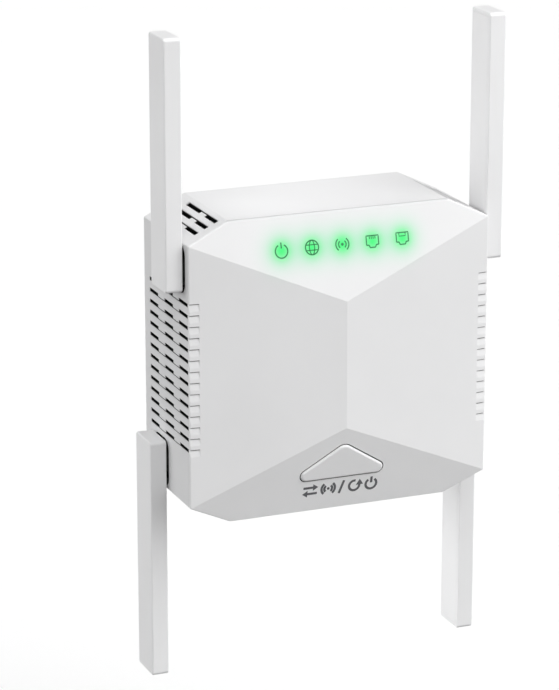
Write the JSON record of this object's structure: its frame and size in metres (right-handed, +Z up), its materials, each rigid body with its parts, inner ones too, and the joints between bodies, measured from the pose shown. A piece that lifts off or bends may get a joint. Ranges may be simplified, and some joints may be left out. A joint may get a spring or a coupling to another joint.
{
  "type": "wifi range extender",
  "caption": "Plug-in wireless range extender: faceted white housing with vented sides, folding blade antennas, indicator lamps, network sockets below and a mains plug behind.",
  "frame": {"origin": "midway between the two mains pins, on the face of the plug base", "axes": "+X right as seen from the front, +Y along the pins into the wall, +Z up"},
  "size_m": [0.09, 0.072, 0.1672],
  "materials": {
    "cover_white": "satin moulded white",
    "housing_white": "satin moulded white",
    "button_white": "satin moulded white",
    "plug_white": "fine matt white",
    "antenna_white": "satin moulded white",
    "hub_white": "plain moulded white",
    "carrier_grey": "plain moulded grey",
    "pin_nickel": "nickel-plated, satin",
    "screw_steel": "zinc-plated",
    "clip_steel": "spring steel",
    "contact_brass": "stamped",
    "contact_gold": "gold-flashed",
    "shield_tin": "tin-plated sheet",
    "board_green": "solder mask",
    "aerial_board": "solder mask",
    "chip_black": "moulded epoxy",
    "switch_brown": "moulded",
    "guide_clear": "clear moulded",
    "lamp_green": "lit lamp",
    "sink_aluminium": "extruded",
    "ferrite_grey": "sintered ferrite",
    "tape_yellow": "winding tape",
    "capacitor_sleeve": "shrink sleeve",
    "fuse_glass": "glass tube",
    "lead_grey": "thin jacket"
  },
  "bodies": {
    "housing": {"antenna_lower_left_lead": "lead_grey", "antenna_lower_right_lead": "lead_grey", "antenna_upper_left_lead": "lead_grey", "antenna_upper_right_lead": "lead_grey", "board_link": "contact_brass", "board_screws": "screw_steel", "capacitors": "capacitor_sleeve", "carrier_screws": "screw_steel", "contact_carrier": "carrier_grey", "front_cover": "cover_white", "fuse": "fuse_glass", "heat_sink": "sink_aluminium", "housing_screws": "screw_steel", "lead_plugs": "contact_gold", "led_emitters": "lamp_green", "light_guide": "guide_clear", "main_board": "board_green", "mains_contacts": "contact_brass", "network_socket_left": "shield_tin", "network_socket_right": "shield_tin", "plug_base": "plug_white", "plug_pin_left": "pin_nickel", "plug_pin_right": "pin_nickel", "power_board": "board_green", "power_board_screws": "screw_steel", "radio_chips": "chip_black", "rear_housing": "housing_white", "rectifier_chips": "chip_black", "rf_shield": "shield_tin", "socket_contacts_left": "contact_gold", "socket_contacts_right": "contact_gold", "switch_body": "chip_black", "transformer_coil": "tape_yellow", "transformer_core": "ferrite_grey"},
    "button": {"pairing_button": "button_white", "switch_plunger": "switch_brown"},
    "antenna_upper_left": {"antenna_upper_left_shell": "antenna_white", "antenna_upper_left_lid": "antenna_white", "antenna_upper_left_element": "aerial_board", "antenna_upper_left_hub": "hub_white", "antenna_upper_left_clip": "clip_steel"},
    "antenna_upper_right": {"antenna_upper_right_shell": "antenna_white", "antenna_upper_right_lid": "antenna_white", "antenna_upper_right_element": "aerial_board", "antenna_upper_right_hub": "hub_white", "antenna_upper_right_clip": "clip_steel"},
    "antenna_lower_left": {"antenna_lower_left_shell": "antenna_white", "antenna_lower_left_lid": "antenna_white", "antenna_lower_left_element": "aerial_board", "antenna_lower_left_hub": "hub_white", "antenna_lower_left_clip": "clip_steel"},
    "antenna_lower_right": {"antenna_lower_right_shell": "antenna_white", "antenna_lower_right_lid": "antenna_white", "antenna_lower_right_element": "aerial_board", "antenna_lower_right_hub": "hub_white", "antenna_lower_right_clip": "clip_steel"}
  },
  "joints": [
    {"name": "button_press", "type": "slide", "parent": "housing", "child": "button", "axis": [0, 1, 0], "range_m": [0, 0.0006], "stiffness_N_per_m": 350},
    {"name": "hinge_upper_left", "type": "hinge", "parent": "housing", "child": "antenna_upper_left", "pos_m": [-0.04, -0.04125, 0.03075], "axis": [1, 0, 0], "range_deg": [0, 180]},
    {"name": "hinge_upper_right", "type": "hinge", "parent": "housing", "child": "antenna_upper_right", "pos_m": [0.04, -0.04125, 0.03075], "axis": [1, 0, 0], "range_deg": [0, 180]},
    {"name": "hinge_lower_left", "type": "hinge", "parent": "housing", "child": "antenna_lower_left", "pos_m": [-0.04, -0.0284, -0.0216], "axis": [1, 0, 0], "range_deg": [0, 180]},
    {"name": "hinge_lower_right", "type": "hinge", "parent": "housing", "child": "antenna_lower_right", "pos_m": [0.04, -0.0284, -0.0216], "axis": [1, 0, 0], "range_deg": [0, 180]}
  ]
}
